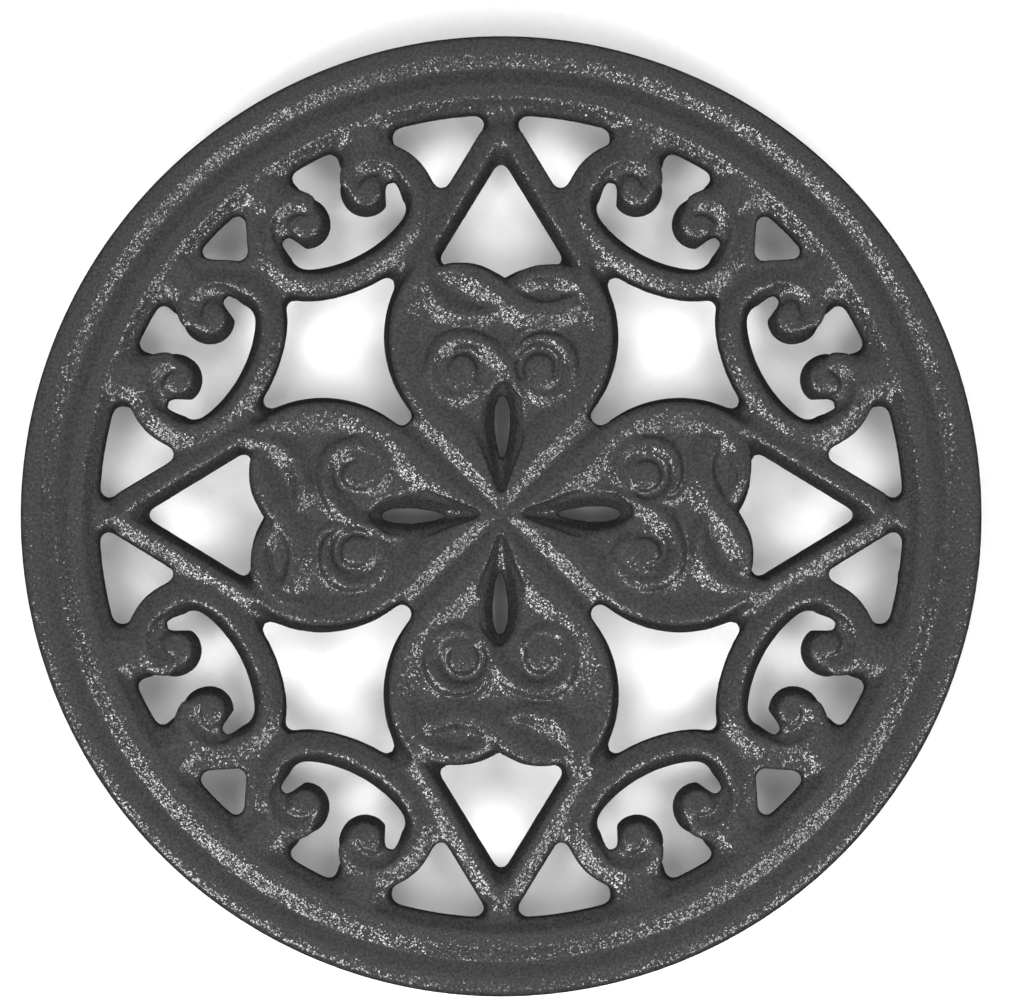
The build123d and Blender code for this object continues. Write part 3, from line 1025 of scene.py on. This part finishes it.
@dataclass
class FootCap:
    """A rubber cap on the end of one leg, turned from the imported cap's own box."""

    node: str
    wall: float = 1.3
    floor: float = 2.5
    edge: float = 0.7
    bevel_share: float = 0.3
    lip_share: float = 0.6
    round_share: float = 0.25
    first_rib: float = 0.8
    rib_pitch: float = 1.8
    rib_room: float = 0.9
    rib_depth: float = 0.22
    rib_steps: tuple[float, ...] = (0.25, 0.6, 0.85)
    hollow_radius: float = 2.2
    hollow_slope: float = 0.4
    hollow_depth: float = 0.5
    steps: int = 64

    def profile(self, radius: float, height: float) -> list[tuple[float, float]]:
        """Draw the cap's half section.

        Args:
            radius: the outer radius.
            height: the height over all.

        Returns:
            Radius and height of each point, from the axis underneath to the axis inside.
        """
        bevel = self.edge * self.bevel_share
        lip = self.edge * self.lip_share
        line = [(0.0, self.hollow_depth), (self.hollow_radius - self.hollow_slope, self.hollow_depth),
                (self.hollow_radius, 0.0), (radius - self.edge, 0.0), (radius - bevel, bevel),
                (radius, self.edge)]
        down, level, up = self.rib_steps
        rise = self.edge + self.first_rib
        while rise + self.rib_room < height - self.edge:
            line += [(radius, rise), (radius - self.rib_depth, rise + down),
                     (radius - self.rib_depth, rise + level), (radius, rise + up)]
            rise += self.rib_pitch
        line += [(radius, height - lip),
                 (radius - self.edge * self.round_share, height - lip * self.round_share),
                 (radius - lip, height), (radius - self.wall, height),
                 (radius - self.wall, self.floor), (0.0, self.floor)]
        return line

    def build(self) -> bpy.types.Object:
        """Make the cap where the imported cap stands.

        Returns:
            The finished piece at the origin.
        """
        low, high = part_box(self.node)
        radius = (high.x - low.x) / 2 / MILLIMETRE
        height = (high.z - low.z) / MILLIMETRE
        shape = spun(self.profile(radius, height), self.steps)
        place = Matrix.Translation(((low.x + high.x) / 2, (low.y + high.y) / 2, low.z))
        bmesh.ops.transform(shape, matrix=place, verts=shape.verts)
        mesh = mesh_of(shape, "rubber_" + self.node)
        mesh.shade_smooth()
        return new_object(mesh.name, mesh)

    def dress(self, piece: bpy.types.Object, finish: bpy.types.Material) -> None:
        """Give the cap its rubber and its place in the frame."""
        piece.data.materials.append(finish)
        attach(piece, "root")
        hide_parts(self.node)


@dataclass
class Studio:
    """White paper, two front lights, a ring of fill lights overhead, and the camera above."""

    floor_side: float = 6000.0
    elevation: float = 87.0
    distance: float = 1100.0
    pixels_per_millimetre: float = 4.957
    aim_across: float = 2.2
    aim_out: float = 2.7
    plate_top: float = 21.5
    sensor: float = 36.0
    key_power: float = 7.4
    key_size: float = 300.0
    key_tilt: float = 42.0
    key_turn: float = 42.0
    side_power: float = 5.1
    side_turn: float = -44.0
    fill_power: float = 3.1
    fill_size: float = 400.0
    fill_tilt: float = 20.5
    fill_turns: tuple[float, ...] = (45.0, 135.0, 225.0, 315.0)
    zenith: float = 0.52
    horizon: float = 0.05
    below: float = 0.02

    def floor(self, finish: bpy.types.Material) -> bpy.types.Object:
        """Lay the paper under the feet."""
        sheet = bmesh.new()
        bmesh.ops.create_grid(sheet, x_segments=1, y_segments=1, size=self.floor_side / 2 * MILLIMETRE)
        mesh = mesh_of(sheet, "studio_paper")
        mesh.materials.append(finish)
        paper = new_object("studio_paper", mesh)
        # The photographed walls don't mirror the paper
        paper.visible_glossy = False
        return paper

    def lamp(self, name: str, power: float, size: float, place: Vector) -> bpy.types.Object:
        """Hang a square soft light that faces the trivet.

        Args:
            name: the light's name.
            power: its power in watts.
            size: the side of the square, in millimetres.
            place: where it hangs, in millimetres.

        Returns:
            The light.
        """
        data = bpy.data.lights.new(name, "AREA")
        data.energy = power
        data.size = size * MILLIMETRE
        light = new_object(name, data)
        light.location = place * MILLIMETRE
        light.rotation_euler = (-place).to_track_quat("-Z", "Y").to_euler()
        return light

    def place(self, turn: float, tilt: float) -> Vector:
        """Give a light's place, turned left of the front and tilted from overhead, in degrees."""
        side = math.radians(turn)
        lean = math.radians(tilt)
        reach = self.distance * math.sin(lean)
        return Vector((-reach * math.sin(side), -reach * math.cos(side), self.distance * math.cos(lean)))

    def lights(self) -> None:
        """Hang the two front lights and the ring of fill lights, and set the room's even light."""
        self.lamp("key_light", self.key_power, self.key_size, self.place(self.key_turn, self.key_tilt))
        self.lamp("side_light", self.side_power, self.key_size, self.place(self.side_turn, self.key_tilt))
        for turn in self.fill_turns:
            above = self.place(turn, self.fill_tilt)
            fill = self.lamp("fill_light", self.fill_power, self.fill_size, above)
            # The fills light the paper in the windows and make no glints on the coat
            fill.visible_glossy = False
        world = bpy.data.worlds.new("white_room")
        tree = bare_tree(world)
        way = add_node(tree, "ShaderNodeTexCoord").outputs["Generated"]
        height = add_node(tree, "ShaderNodeSeparateXYZ", links={"Vector": way}).outputs["Z"]
        ceiling = add_node(tree, "ShaderNodeMapRange",
                           {"From Min": 0.0, "From Max": 1.0,
                            "To Min": self.horizon, "To Max": self.zenith},
                           {"Value": height})
        upper = add_node(tree, "ShaderNodeMath", {"operation": "GREATER_THAN"})
        tree.links.new(height, upper.inputs[0])
        upper.inputs[1].default_value = 0.0
        level = add_node(tree, "ShaderNodeMix", {"data_type": "FLOAT"}, {"Factor": upper.outputs[0]})
        level.inputs["A"].default_value = self.below
        tree.links.new(ceiling.outputs["Result"], level.inputs["B"])
        room = add_node(tree, "ShaderNodeBackground", links={"Strength": level.outputs["Result"]})
        add_node(tree, "ShaderNodeOutputWorld", links={"Surface": room.outputs["Background"]})
        bpy.context.scene.world = world

    def camera(self) -> bpy.types.Object:
        """Set the camera where the photograph was taken from.

        Returns:
            The camera.
        """
        data = bpy.data.cameras.new("camera")
        data.sensor_width = self.sensor
        data.lens = self.pixels_per_millimetre * self.distance * self.sensor / IMAGE_WIDTH
        eye = new_object("camera", data)
        rise = math.radians(self.elevation)
        away = Vector((0.0, -math.cos(rise), math.sin(rise)))
        aim = Vector((self.aim_across, self.aim_out, self.plate_top))
        eye.location = (aim + away * self.distance) * MILLIMETRE
        eye.rotation_euler = (-away).to_track_quat("-Z", "Y").to_euler()
        bpy.context.scene.camera = eye
        return eye


def main() -> None:
    """Build the trivet, dress it and set the studio."""
    logging.basicConfig(level=logging.INFO, format="%(name)s: %(message)s")
    bpy.context.scene.view_settings.view_transform = "Standard"
    casting = Casting()
    piece = casting.build()
    casting.dress(piece, PowderCoatedIron().build())
    log.info("%s: %d faces", piece.name, len(piece.data.polygons))
    rubber = MouldedRubber().build()
    for node in sorted(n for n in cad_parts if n.startswith("foot_cap")):
        cap = FootCap(node)
        piece = cap.build()
        cap.dress(piece, rubber)
        log.info("%s: %d faces", piece.name, len(piece.data.polygons))
    studio = Studio()
    studio.floor(WhitePaper().build())
    studio.lights()
    studio.camera()


if __name__ == "__main__":
    main()
